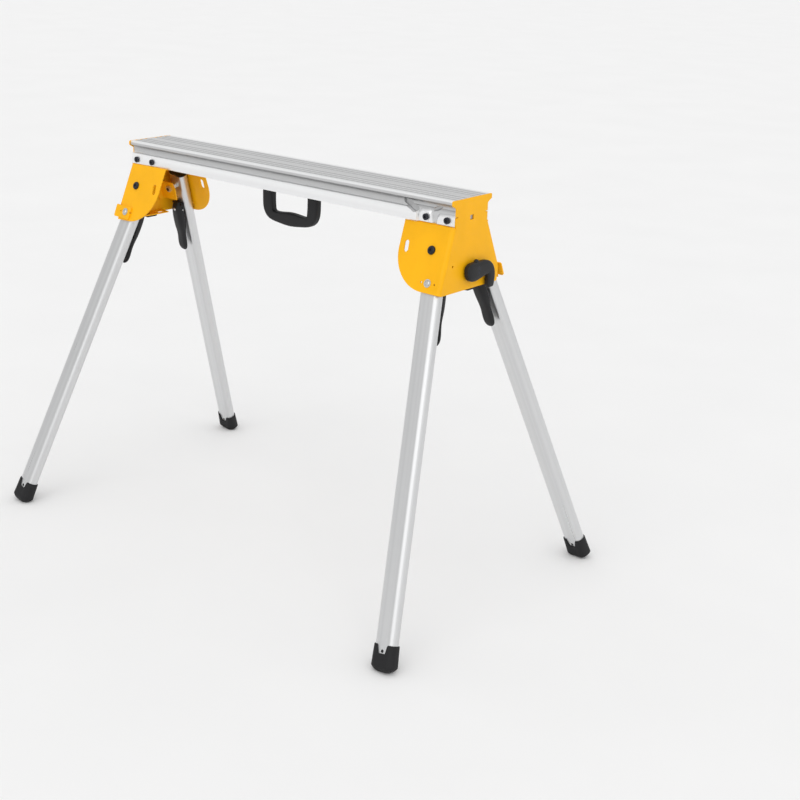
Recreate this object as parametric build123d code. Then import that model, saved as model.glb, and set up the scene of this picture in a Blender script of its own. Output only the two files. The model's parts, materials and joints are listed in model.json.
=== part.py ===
from build123d import *
import math
import os

os.makedirs("parts", exist_ok=True)

# ---------------------------------------------------------------- driving sizes (mm, degrees)
HEIGHT = 813.0            # floor to the beam's top face
BEAM_LENGTH = 900.0       # over both end plates
BEAM_WIDTH = 118.0        # over the two nose lips
BEAM_DEPTH = 50.0
BAND_HALF = 55.0          # centre plane to the flat lower band
WEB_HALF = 48.5           # centre plane to the bottom of the side cove
SHEET = 2.5               # bracket sheet thickness

LEAN = 21.3               # side plates lean outwards by this much
SPLAY = 10.2              # legs splay towards the beam's ends, in the plane of the plate
TOE = 3.2                 # pivot axes are turned by this, so folded legs pass side by side
END_LEAN = 3.3            # the end plate leans out below the beam

PIVOT_U, PIVOT_D = 37.0, 47.8     # pivot on the side plate: inboard, down the plate
LOCK_RADIUS = 62.5                # pivot to lock pin
PLATE_RADIUS = 80.0               # round lower edge of the side plate
AXIS_DEPTH = 17.0                 # plate's outer face to the leg's axis
EAR_DEPTH_NEAR = 31.5             # ear plate of the legs with a doubler
EAR_DEPTH_FAR = 46.5              # ear plate of the other two

TUBE_WIDTH, TUBE_THICK = 45.0, 24.0
TUBE_CORNER, TUBE_WALL = 10.0, 2.0
TUBE_HEAD = 24.0                  # tube above the pivot
BOLT_R, SLEEVE_R, PIN_R = 4.0, 7.0, 4.0
RUN_FIT = 0.05
FREE_GAP = 0.3
DOUBLER = 3.0

HOOK_PIVOT = (2.0, -87.0)         # in the end plate's frame

LEVER_HINGE = (-50.0, -17.5)      # in the leg's own frame: along the leg, across its thickness
LEVER_END = -178.0
LEVER_HALF = 15.0

HANDLE_X = -11.0
HANDLE_HALF, HANDLE_ARM, HANDLE_THICK = 76.0, 22.0, 18.0
HANDLE_BOTTOM = 126.0             # below the beam's top face
HANDLE_SCREWS = (HANDLE_X - HANDLE_HALF + HANDLE_ARM / 2, HANDLE_X + HANDLE_HALF - HANDLE_ARM / 2)

BAND_BOLTS = (19.5, 69.0)         # bolts from each end of the beam
BOLT_DROP = 40.0                  # bolts below the top face
PAD_HALF = 50.0                   # centre plane to the milled bolt pads
TOP_DIMPLES = ((390.0, 6.5), (390.0, -22.0), (5.0, 22.0), (-300.0, 8.0))


def flat(points):
    return make_face(Polyline(*points, close=True))


def plate(points, thickness):
    """A plate below the local XY plane, its outer face at z = 0."""
    return extrude(flat(points), amount=-thickness)


def rod(radius, z_low, z_high, x=0.0, y=0.0):
    return Pos(x, y, (z_low + z_high) / 2) * Cylinder(radius, z_high - z_low)


def block(x0, x1, y0, y1, z0, z1):
    return Pos((x0 + x1) / 2, (y0 + y1) / 2, (z0 + z1) / 2) * Box(x1 - x0, y1 - y0, z1 - z0)


def half_turn(shape):
    return Rot(0, 0, 180) * shape


# ---------------------------------------------------------------- local frames
def front_frame(end):
    """Front side plate at end -1 or +1: x along the beam, y up the plate, z out of it."""
    lean, toe = math.radians(LEAN), math.radians(TOE)
    out = Vector(0, -math.cos(lean), math.sin(lean))
    along = Vector(1, 0, 0)
    x_dir = along * math.cos(toe) + out * math.sin(toe)
    z_dir = out * math.cos(toe) - along * math.sin(toe)
    origin = (end * BEAM_LENGTH / 2, -BAND_HALF, HEIGHT - BEAM_DEPTH)
    return Location(Plane(origin=origin, x_dir=x_dir, z_dir=z_dir))


def leg_frame(end):
    """Leg frame inside the plate frame: origin on the pivot, y up the leg, z out."""
    return Location((-end * PIVOT_U, -PIVOT_D, -AXIS_DEPTH)) * Location((0, 0, 0), (0, 0, end * SPLAY))


def end_frame():
    """Right end plate below the beam: x is the row's +Y, y up the plate, z out."""
    tilt = math.radians(END_LEAN)
    origin = (BEAM_LENGTH / 2, 0, HEIGHT - BEAM_DEPTH)
    return Location(Plane(origin=origin, x_dir=(0, 1, 0), z_dir=(math.cos(tilt), 0, math.sin(tilt))))


def on_plate(end, u, d):
    """Plate point from inboard distance u and distance d down the plate."""
    return (-end * u, -d)


# ---------------------------------------------------------------- beam
def beam_outline():
    """Outer section of the extrusion in (y, z), z measured down from the top face."""
    nose = BEAM_WIDTH / 2
    right = [
        (nose - 3, 0), (nose - 0.8, -1), (nose, -3), (nose, -6.5), (nose - 1.5, -8.5),
        (nose - 5, -10), (nose - 8, -12.5), (nose - 9.8, -15.5), (WEB_HALF, -19), (WEB_HALF, -24.5),
        (BAND_HALF - 1, -26), (BAND_HALF, -27), (BAND_HALF, -BEAM_DEPTH), (44, -BEAM_DEPTH),
        (44, -14), (47, -10), (50, -8), (50, -4), (22.5, -4), (22.5, -BEAM_DEPTH),
    ]
    left = [(-y, z) for y, z in reversed(right)]
    return flat(right + left)


def beam():
    section = beam_outline()
    section -= flat([(-20, -4), (20, -4), (20, -BEAM_DEPTH + 2.5), (-20, -BEAM_DEPTH + 2.5)])
    for y in (-43, -29, -15, 15, 29, 43):
        section -= flat([(y - 2.2, 0.5), (y + 2.2, 0.5), (y + 1.4, -1.1), (y - 1.4, -1.1)])
    length = BEAM_LENGTH - 2 * SHEET
    start = Plane(origin=(-length / 2, 0, HEIGHT), x_dir=(0, 1, 0), z_dir=(1, 0, 0))
    solid = extrude(start * section, amount=length)
    recess = front_recess()
    solid -= recess
    solid -= half_turn(recess)
    for x in BAND_BOLTS:
        for end in (-1, 1):
            hole = Pos(end * (BEAM_LENGTH / 2 - x), 0, HEIGHT - BOLT_DROP)
            solid -= hole * Rot(90, 0, 0) * Cylinder(BOLT_R, 2 * BAND_HALF + 20)
    for x, y in TOP_DIMPLES:
        solid -= Pos(x, y, HEIGHT) * Cone(2.2, 3.0, 3)
        solid -= Pos(-x, -y, HEIGHT) * Cone(2.2, 3.0, 3)
    for x in HANDLE_SCREWS:
        solid -= Pos(x, 0, HEIGHT - BEAM_DEPTH) * Cylinder(2.5, 12)
    return solid


def front_recess():
    """Milled pocket in the lower band at the front right end, cut to the bolt pads."""
    end = BEAM_LENGTH / 2
    top = HEIGHT - 25
    bottom = HEIGHT - BEAM_DEPTH
    curve = ThreePointArc((end - 128, top), (end - 104, top - 9), (end - 95, bottom - 1))
    edges = [curve, Line((end - 95, bottom - 1), (end + 5, bottom - 1))]
    edges += [Line((end + 5, bottom - 1), (end + 5, top)), Line((end + 5, top), (end - 128, top))]
    side = Plane(origin=(0, -PAD_HALF, 0), x_dir=(1, 0, 0), z_dir=(0, -1, 0))
    pocket = extrude(side * make_face(Curve() + edges), amount=12)
    notch = Pos(end - 53, -PAD_HALF, bottom) * Rot(0, 0, 45) * Box(8, 8, 2 * 22)
    scoop = Pos(end - 24, -62, HEIGHT - 24) * Sphere(17)
    scoop += Pos(end - 70, -61, HEIGHT - 25) * Sphere(15)
    slot = Pos(end - 112, -WEB_HALF - 3, HEIGHT - 19) * Rot(90, 0, 0) * Cylinder(7, 9)
    return pocket + notch + scoop + slot


# ---------------------------------------------------------------- end brackets
def side_plate(end):
    """Leaning side plate in its own frame, with the pivot, lock, screw and fold-lock holes."""
    start = on_plate(end, 119.5, 0)
    side = on_plate(end, PIVOT_U + PLATE_RADIUS, PIVOT_D)
    low = on_plate(end, PIVOT_U, PIVOT_D + PLATE_RADIUS)
    middle = on_plate(
        end,
        PIVOT_U + PLATE_RADIUS * math.cos(math.radians(45)),
        PIVOT_D + PLATE_RADIUS * math.sin(math.radians(45)),
    )
    corner = on_plate(end, -7.4, PIVOT_D + PLATE_RADIUS)
    top = on_plate(end, 0, 0)
    edges = [Line(start, side), ThreePointArc(side, middle, low), Line(low, corner)]
    edges += [Line(corner, top), Line(top, start)]
    body = extrude(make_face(Curve() + edges), amount=-SHEET)
    body -= rod(BOLT_R, -SHEET - 1, 1, *on_plate(end, PIVOT_U, PIVOT_D))
    x, y = lock_point(end)
    body -= rod(6.0, -SHEET - 1, 1, x, y)
    for offset in (-16, 16):
        body -= rod(1.8, -SHEET - 1, 1, x + offset, y)
    slot_x, slot_y = on_plate(end, PIVOT_U + LOCK_RADIUS, PIVOT_D + 1)
    slot = extrude(SlotOverall(23, 10), amount=6, both=True)
    body -= Pos(slot_x, slot_y, 0) * Rot(0, 0, 90 - end * 8) * slot
    return body


def lock_point(end):
    """Lock pin position in the plate frame, on the leg's axis below the pivot."""
    splay = math.radians(SPLAY)
    u = PIVOT_U - LOCK_RADIUS * math.sin(splay)
    return on_plate(end, u, PIVOT_D + LOCK_RADIUS * math.cos(splay))


def end_plate():
    """Right end plate: profile cap over the beam's end and the widening plate below it."""
    spread = math.tan(math.radians(LEAN))
    drop = 121.0
    low = [
        (-BAND_HALF, 0), (-BAND_HALF - drop * spread, -drop), (79, -drop),
        (BAND_HALF + 86 * spread, -86), (BAND_HALF, 0),
    ]
    plate_low = end_frame() * plate(low, SHEET)
    cap = [
        (-55, -2), (-55, 0), (-49, 17), (-49, 34), (-52, 37.5), (-59.5, 41), (-62, 44), (-62, 47.5), (-60, 50),
        (60, 50), (62, 47.5), (62, 44), (59.5, 41), (52, 37.5), (49, 34), (49, 17), (55, 0), (55, -2),
    ]
    cap_plane = Plane(origin=(BEAM_LENGTH / 2, 0, HEIGHT - BEAM_DEPTH), x_dir=(0, 1, 0), z_dir=(1, 0, 0))
    cap_plate = cap_plane * plate(cap, SHEET)
    cap_plate -= cap_plane * (Pos(1.5, 12.6, 0) * Box(8, 8, 20))
    cap_plate -= cap_plane * (Pos(-46, 17.5, 0) * Box(9, 1.6, 20))
    cap_plate -= cap_plane * (Pos(46, 17.5, 0) * Box(9, 1.6, 20))
    plate_low -= end_frame() * (Pos(-58, -72, 0) * Cylinder(2.2, 20))
    plate_low -= end_frame() * rod(4.0, -10, 10, *HOOK_PIVOT)
    flange = block(-36, 36, -drop, -drop + SHEET, -24, 0)
    for x in (-19, 19):
        flange -= block(x - 9, x + 9, -drop - 1, -drop + SHEET + 1, -19, -9)
    plate_low += end_frame() * flange
    return cap_plate + plate_low


def top_web():
    """Web under the beam, with four tabs that stand inside the beam's side channels."""
    end = BEAM_LENGTH / 2
    low = HEIGHT - BEAM_DEPTH - SHEET
    outline = [(end - 1, -53.6), (end - 1, 53.6), (end - 112, 59.6), (end - 112, -47.4)]
    web = extrude(Plane(origin=(0, 0, low)) * flat(outline), amount=SHEET)
    for side in (-1, 1):
        tab = block(end - 88, end - 6, -1.25, 1.25, low, HEIGHT - 28)
        for x in BAND_BOLTS:
            tab -= Pos(end - x, 0, HEIGHT - BOLT_DROP) * Rot(90, 0, 0) * Cylinder(BOLT_R, 9)
        web += Pos(0, side * 42.7, 0) * tab
    return web


def right_bracket():
    front = front_frame(1) * side_plate(1)
    rear = half_turn(front_frame(-1) * side_plate(-1))
    return end_plate() + front + rear + top_web()


def doubler():
    """Small plate round the lock bush of the front left leg, in the plate frame."""
    points = [on_plate(-1, u, d) for u, d in ((-9, 95.5), (44, 98), (42, 125), (-10, 123))]
    body = extrude(flat(points), amount=DOUBLER)
    body = fillet(body.edges().filter_by(Axis.Z), 3.5)
    x, y = lock_point(-1)
    body -= rod(6.0, -1, DOUBLER + 1, x, y)
    for offset in (-16, 16):
        body -= rod(1.8, -1, DOUBLER + 1, x + offset, y)
    return body


def ear(end):
    """L-shaped pivot ear, placed: welded to the end plate, it holds the bolt's inner end."""
    depth = ear_depth(end)
    points = [on_plate(end, u, d) for u, d in ((-12, 34), (52, 32), (56, 44), (50, 76), (-12, 78))]
    body = Pos(0, 0, -depth) * plate(points, SHEET)
    foot_x = sorted((end * 12.0, -end * 3.5))
    body += block(foot_x[0], foot_x[1], -78, -34, -depth - 14, -depth)
    body -= rod(BOLT_R, -depth - SHEET - 1, -depth + 1, *on_plate(end, PIVOT_U, PIVOT_D))
    body -= rod(2.0, -depth - SHEET - 1, -depth + 1, *on_plate(end, PIVOT_U + 8, PIVOT_D + 14))
    outside = end_frame() * block(-200, 200, -200, 60, -SHEET, 80)
    if end < 0:
        outside = half_turn(outside)
    return front_frame(end) * body - outside


def ear_depth(end):
    return EAR_DEPTH_NEAR if end < 0 else EAR_DEPTH_FAR


def pivot_bolt(end):
    """Domed black bolt through plate, leg and ear, in the plate frame."""
    x, y = on_plate(end, PIVOT_U, PIVOT_D)
    depth = ear_depth(end)
    body = rod(BOLT_R, -depth - SHEET - 6, 0, x, y)
    head = rod(8.6, 0, 4.2, x, y)
    head = fillet(head.edges().group_by(Axis.Z)[-1], 3.2)
    socket = Pos(x, y, 2.4) * extrude(RegularPolygon(2.9, 6), amount=4)
    return body + head - socket


def pivot_nut(end):
    x, y = on_plate(end, PIVOT_U, PIVOT_D)
    depth = ear_depth(end) + SHEET
    nut = Pos(x, y, -depth - 5) * extrude(RegularPolygon(7.6, 6), amount=5)
    return nut - rod(BOLT_R, -depth - 9, -depth + 1, x, y)


def pivot_spacer():
    """Tube on the bolt between the front right leg and its ear."""
    x, y = on_plate(1, PIVOT_U, PIVOT_D)
    top = -AXIS_DEPTH - TUBE_THICK / 2 - 2.5
    return rod(6.5, -EAR_DEPTH_FAR, top, x, y) - rod(BOLT_R, -EAR_DEPTH_FAR - 1, top + 1, x, y)


def lock_bush(end):
    """Blind steel bush in the plate at the lock pin, in the plate frame."""
    x, y = lock_point(end)
    face = DOUBLER if end < 0 else 0.0
    body = rod(6.0, -SHEET, face, x, y) + rod(8.0, face, face + 1.2, x, y)
    body -= rod(6.2, face + 0.3, face + 2, x, y)
    boss = rod(4.6, face, face + 2.6, x, y)
    return body + chamfer(boss.edges().group_by(Axis.Z)[-1], 1.2)


def band_bolt(y_face):
    """Socket screw whose head seats on the band, axis along Y at the origin."""
    head = Pos(0, y_face - 1.6, 0) * Rot(90, 0, 0) * Cylinder(6.4, 3.2)
    socket = Plane(origin=(0, y_face - 3.6, 0), x_dir=(1, 0, 0), z_dir=(0, 1, 0))
    shank_end = -36.0
    middle = (y_face + shank_end) / 2
    shank = Pos(0, middle, 0) * Rot(90, 0, 0) * Cylinder(BOLT_R, shank_end - y_face)
    return head + shank - extrude(socket * RegularPolygon(3.2, 6), amount=2.4)


def band_bolts():
    bolts = []
    for x in BAND_BOLTS:
        left = Pos(-BEAM_LENGTH / 2 + x, 0, HEIGHT - BOLT_DROP) * band_bolt(-BAND_HALF)
        right = Pos(BEAM_LENGTH / 2 - x, 0, HEIGHT - BOLT_DROP) * band_bolt(-PAD_HALF)
        bolts += [left, right, half_turn(left), half_turn(right)]
    return Compound(children=bolts)


def band_nuts():
    nuts = []
    seat = Plane(origin=(0, -41.4, 0), x_dir=(1, 0, 0), z_dir=(0, 1, 0))
    for x in BAND_BOLTS:
        for end in (-1, 1):
            nut = extrude(seat * RegularPolygon(7.0, 6), amount=4.5)
            nut -= Pos(0, -39, 0) * Rot(90, 0, 0) * Cylinder(BOLT_R, 12)
            nut = Pos(end * (BEAM_LENGTH / 2 - x), 0, HEIGHT - BOLT_DROP) * nut
            nuts += [nut, half_turn(nut)]
    return Compound(children=nuts)


def bumpers():
    """Rubber stop block under each end plate's bottom flange."""
    body = block(-7, 21, -127, -121, -17, -3)
    body = fillet(body.edges().group_by(Axis.Y)[0], 2)
    right = end_frame() * body
    return Compound(children=[right, half_turn(right)])


# ---------------------------------------------------------------- hooks on the end plates
def hook():
    """Comma-shaped plastic hook on the right end plate, in the end plate's frame."""
    knob = Pos(-9, -87) * Circle(18)
    knob += Pos(6, -84) * Rectangle(30, 32)
    ring = Pos(30, -99) * Circle(30)
    ring -= Pos(33, -112) * Circle(11.5)
    ring -= Pos(15, -122) * Rectangle(46, 34)
    tail = flat([(39, -104), (60, -100), (55, -129), (38, -129)])
    tail -= Pos(33, -112) * Circle(11.5)
    body = extrude(knob + ring + tail, amount=13)
    body -= rod(4.0 + RUN_FIT, -1, 20, *HOOK_PIVOT)
    return Pos(0, 0, 0.5) * body


def hook_pin():
    """Shoulder rivet that the hook turns on, in the end plate's frame."""
    body = rod(4.0, -SHEET - 1.5, 14.0, *HOOK_PIVOT) + rod(7.0, 14.0, 16.0, *HOOK_PIVOT)
    return body - rod(2.0, 14.8, 17, *HOOK_PIVOT)


# ---------------------------------------------------------------- legs, in the leg's own frame
def tube_section(grow):
    return RectangleRounded(TUBE_WIDTH + 2 * grow, TUBE_THICK + 2 * grow, TUBE_CORNER + grow)


def along_leg(section, top, bottom):
    """Extrude a section down the leg from y = top to y = bottom."""
    return extrude(Plane.XZ.offset(-top) * section, amount=top - bottom)


def leg_length(end):
    """Pivot to floor along the leg's axis."""
    frame = front_frame(end) * leg_frame(end)
    top = frame.position
    low = (frame * Location((0, -1, 0))).position
    return top.Z / (top.Z - low.Z)


def leg_tube(end):
    low = -leg_length(end) + 12
    tube = along_leg(tube_section(0) - tube_section(-TUBE_WALL), TUBE_HEAD, low)
    tube -= rod(SLEEVE_R, -20, 20)
    tube -= rod(PIN_R + FREE_GAP, -20, 20, 0, -LOCK_RADIUS)
    for z in (-1, 1):
        tube -= Pos(0, low + 26, z * TUBE_THICK / 2) * Cylinder(3.2, 8)
    return tube


def leg_plug():
    plug = along_leg(tube_section(0), TUBE_HEAD + 4, TUBE_HEAD)
    plug = fillet(plug.edges().group_by(Axis.Y)[-1], 2)
    return plug + along_leg(tube_section(-TUBE_WALL), TUBE_HEAD, TUBE_HEAD - 12)


def pivot_sleeve():
    half = TUBE_THICK / 2 + 2.2
    return rod(SLEEVE_R, -half, half) - rod(BOLT_R + RUN_FIT, -half - 1, half + 1)


def foot(end):
    """Rubber foot: deep cap with a scalloped rim, cut flat where it meets the floor."""
    length = leg_length(end)
    rim = -length + 46
    cap = along_leg(tube_section(2.5), rim, -length - 25)
    cap -= along_leg(tube_section(0), rim + 1, -length + 12)
    for z in (-1, 1):
        notch = Pos(0, rim, z * (TUBE_THICK / 2 + 3)) * SlotOverall(32, 18, rotation=90)
        cap -= extrude(notch, amount=5, both=True)
    for x in (-1, 1):
        cap -= Pos(x * (TUBE_WIDTH / 2 + 6), rim, 0) * Rot(0, 90, 0) * Cylinder(7, 16)
    floor = (front_frame(end) * leg_frame(end)).inverse() * block(-900, 900, -900, 900, -60, 0)
    return cap - floor


def lever_mount():
    """Moulded block on the leg's inner face with a stub axle each side for the lever."""
    y, z = LEVER_HINGE
    face = -TUBE_THICK / 2
    body = block(-8, 8, y - 6, y + 3.5, z - 4, face)
    axle = Pos(0, y, z) * Rot(0, 90, 0) * Cylinder(2.5, 2 * LEVER_HALF)
    return body + axle


def lever():
    """Channel-shaped lever, open towards the leg, turning on the mount's stub axles."""
    y, z = LEVER_HINGE
    back = [(y + 8, -19), (y + 4, -25), (y - 14, -30), (-90, -32), (-130, -30), (-160, -31), (LEVER_END, -28)]
    inner = [(LEVER_END + 2, -24), (-160, -22), (-130, -20.5), (-100, -16), (-80, -13.5), (y - 14, -13)]
    inner += [(y + 4, -15.5), (y + 8, -17)]
    side = extrude(Plane.YZ * flat(back + inner), amount=LEVER_HALF, both=True)
    front = [(-9, y + 9), (9, y + 9), (13, y + 5), (15, y - 4), (15, -106), (11, -128), (12, -150)]
    front += [(12, -168), (8, -175), (0, LEVER_END), (-8, -175), (-12, -168), (-12, -150), (-11, -128)]
    front += [(-15, -106), (-15, y - 4), (-13, y + 5)]
    body = side & extrude(flat(front), amount=40, both=True)
    pocket = block(-11.5, 11.5, -74, y + 10, -23.5, 0)
    pocket += block(-8, 8, -168, -73, -24, 0)
    body -= pocket
    body -= Pos(0, y, z) * Rot(0, 90, 0) * Cylinder(2.5 + RUN_FIT, 60)
    body -= extrude(Plane.YZ * (Pos(-LOCK_RADIUS - 0.6, z) * SlotOverall(6.4, 4.2)), amount=30, both=True)
    return body


def lock_pin():
    """Steel pin across the leg with a spring collar; its tip stops just inside the plate."""
    tip = AXIS_DEPTH - SHEET - 0.4
    y = -LOCK_RADIUS
    body = rod(PIN_R, -21.5, tip, 0, y)
    body = chamfer(body.edges().group_by(Axis.Z)[-1], 0.8)
    body += rod(6.4, 2.0, 4.0, 0, y)
    cross = Pos(0, y, LEVER_HINGE[1]) * Rot(0, 90, 0) * Cylinder(1.6, 40)
    return body - cross


def cross_pin():
    return Pos(0, -LOCK_RADIUS, LEVER_HINGE[1]) * Rot(0, 90, 0) * Cylinder(1.6, 2 * LEVER_HALF - 1)


def lock_spring():
    """Return spring round the pin, drawn at its closed length against the collar."""
    path = Helix(pitch=1.45, height=4.3, radius=5.2)
    wire = Plane(origin=path @ 0, z_dir=path % 0) * Circle(0.6)
    return Pos(0, -LOCK_RADIUS, -3.0) * sweep(wire, path=path)


# ---------------------------------------------------------------- handle
def handle():
    """Black U handle under the beam, screwed up through its two feet."""
    top = HEIGHT - BEAM_DEPTH
    low = HEIGHT - HANDLE_BOTTOM
    x0, x1 = HANDLE_X - HANDLE_HALF, HANDLE_X + HANDLE_HALF
    arm = HANDLE_ARM
    outer = [(x0, top), (x0 + 6, low + 26), (x0 + 13, low + 8), (x0 + 28, low + 1), (HANDLE_X, low)]
    outer += [(x1 - 28, low + 1), (x1 - 13, low + 8), (x1 - 6, low + 26), (x1, top)]
    inner = [(x1 - arm, top), (x1 - arm - 4, low + 30), (x1 - arm - 12, low + 22), (HANDLE_X, low + 20)]
    inner += [(x0 + arm + 12, low + 22), (x0 + arm + 4, low + 30), (x0 + arm, top)]
    front = Plane(origin=(0, HANDLE_THICK / 2, 0), x_dir=(1, 0, 0), z_dir=(0, -1, 0))
    body = extrude(front * flat(outer + inner), amount=HANDLE_THICK)
    body = fillet(body.edges().filter_by(Axis.Y), 2.5)
    rims = body.edges().group_by(Axis.Y)
    body = fillet(rims[0] + rims[-1], 3.5)
    for x in HANDLE_SCREWS:
        body -= Pos(x, 0, top) * Cylinder(2.5, 44)
    return body


def handle_screws():
    screws = []
    for x in HANDLE_SCREWS:
        screw = Pos(x, 0, HEIGHT - BEAM_DEPTH - 6) * Cylinder(2.5, 24)
        screw += Pos(x, 0, HEIGHT - BEAM_DEPTH + 2.5 + 1.5) * Cylinder(5, 3)
        screws.append(screw)
    return Compound(children=screws)


# ---------------------------------------------------------------- write the nodes
def group(*solids):
    return Compound(children=list(solids))


def both_sides(make):
    """One solid at each corner: front left, front right and their half-turn copies."""
    left = front_frame(-1) * make(-1)
    right = front_frame(1) * make(1)
    return group(left, right, half_turn(left), half_turn(right))


nodes = {
    "beam": beam(),
    "bracket_right": right_bracket(),
    "pivot_bolts": both_sides(pivot_bolt),
    "pivot_nuts": both_sides(pivot_nut),
    "lock_bushes": both_sides(lock_bush),
    "bracket_bolts": band_bolts(),
    "bracket_nuts": band_nuts(),
    "bumpers": bumpers(),
    "handle": handle(),
    "handle_screws": handle_screws(),
}
nodes["bracket_left"] = half_turn(nodes["bracket_right"])

spacer = front_frame(1) * pivot_spacer()
nodes["pivot_spacers"] = group(spacer, half_turn(spacer))

nodes["doubler_a"] = front_frame(-1) * doubler()
nodes["doubler_d"] = half_turn(nodes["doubler_a"])
nodes["hook_right"] = end_frame() * hook()
nodes["hook_left"] = half_turn(nodes["hook_right"])
pin = end_frame() * hook_pin()
nodes["hook_pins"] = group(pin, half_turn(pin))

# legs a (front left) and c (front right) are placed; d and b are their half-turn copies
for end, leg, opposite in ((-1, "a", "d"), (1, "c", "b")):
    frame = front_frame(end) * leg_frame(end)
    pieces = {
        "leg_tube": leg_tube(end),
        "leg_plug": leg_plug(),
        "pivot_sleeve": pivot_sleeve(),
        "foot": foot(end),
        "lever_mount": lever_mount(),
        "lever": lever(),
        "lock_pin": lock_pin(),
        "cross_pin": cross_pin(),
        "lock_spring": lock_spring(),
    }
    for name, piece in pieces.items():
        nodes[f"{name}_{leg}"] = frame * piece
        nodes[f"{name}_{opposite}"] = half_turn(frame * piece)
    nodes[f"pivot_ear_{leg}"] = ear(end)
    nodes[f"pivot_ear_{opposite}"] = half_turn(nodes[f"pivot_ear_{leg}"])

for name, shape in nodes.items():
    export_step(shape, f"parts/{name}.step")
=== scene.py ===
import json
import math

import bmesh
import bpy
import numpy as np
from bpy.props import FloatProperty, FloatVectorProperty, PointerProperty
from mathutils import Matrix, Vector


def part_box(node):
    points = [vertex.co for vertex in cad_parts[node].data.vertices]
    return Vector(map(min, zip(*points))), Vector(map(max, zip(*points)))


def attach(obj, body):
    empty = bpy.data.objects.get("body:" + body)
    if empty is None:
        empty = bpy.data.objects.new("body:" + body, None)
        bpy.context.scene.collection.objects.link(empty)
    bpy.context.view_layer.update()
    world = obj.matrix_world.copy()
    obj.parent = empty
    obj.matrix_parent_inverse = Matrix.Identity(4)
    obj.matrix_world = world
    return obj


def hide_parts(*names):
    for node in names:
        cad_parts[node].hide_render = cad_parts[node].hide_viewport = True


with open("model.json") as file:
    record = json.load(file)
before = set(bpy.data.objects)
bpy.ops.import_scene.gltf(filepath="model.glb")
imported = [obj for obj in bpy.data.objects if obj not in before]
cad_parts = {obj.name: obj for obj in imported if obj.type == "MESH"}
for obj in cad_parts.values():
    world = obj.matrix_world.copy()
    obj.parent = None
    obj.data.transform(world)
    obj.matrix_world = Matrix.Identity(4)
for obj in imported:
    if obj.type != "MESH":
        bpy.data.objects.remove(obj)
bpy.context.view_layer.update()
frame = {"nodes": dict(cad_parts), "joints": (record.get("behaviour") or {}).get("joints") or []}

bl_info = {
    "name": "Folding Sawhorse",
    "version": (1, 0, 0),
    "blender": (4, 5, 0),
    "location": "3D View > Sidebar > Sawhorse",
    "description": "Builds the finished surfaces of a folding sawhorse around its design frame",
    "category": "Add Mesh",
}

NODES = frame["nodes"]
JOINTS = {joint["name"]: joint for joint in frame["joints"]}
LEGS = ("a", "b", "c", "d")
OWN = "own_place"         # attribute with each point's place in its piece's own frame
MM = 0.001
UNTURNED = np.eye(3)
BEAM_TOP = 0.813
UNDER_BEAM = 0.763
CORNER_X = 0.45           # where the end plates meet the beam's underside


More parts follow.
